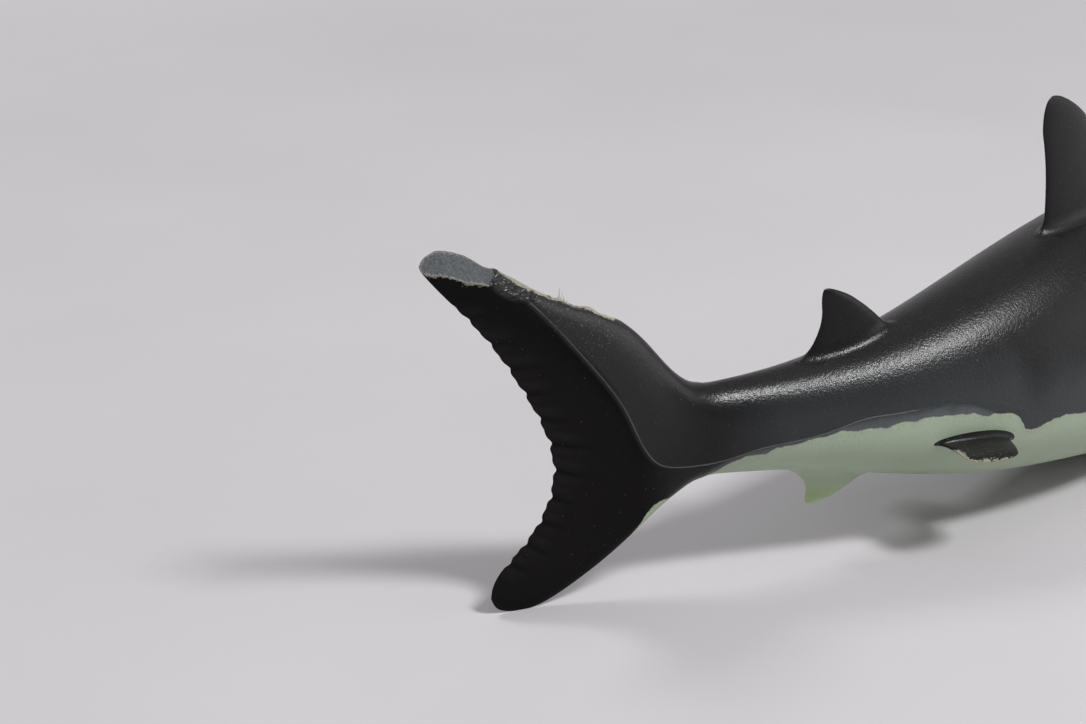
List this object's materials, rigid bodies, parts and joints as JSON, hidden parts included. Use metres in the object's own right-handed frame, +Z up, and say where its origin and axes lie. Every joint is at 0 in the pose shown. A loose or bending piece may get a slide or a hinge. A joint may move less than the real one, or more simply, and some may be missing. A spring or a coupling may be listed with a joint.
{
  "type": "toy shark figurine",
  "caption": "Soft plastic shark figurine moulded in one piece, with a swung tail, a ray-grooved tail fin and a sliced upper lobe.",
  "frame": {"origin": "middle of the figurine's base outline, on the surface it rests on", "axes": "+X out of the snout, +Z up, the shark's left side and the swing of its tail towards +Y"},
  "size_m": [0.2156, 0.1064, 0.074],
  "materials": {
    "pvc": "satin"
  },
  "bodies": {
    "root": {"shark": "pvc"}
  },
  "joints": []
}
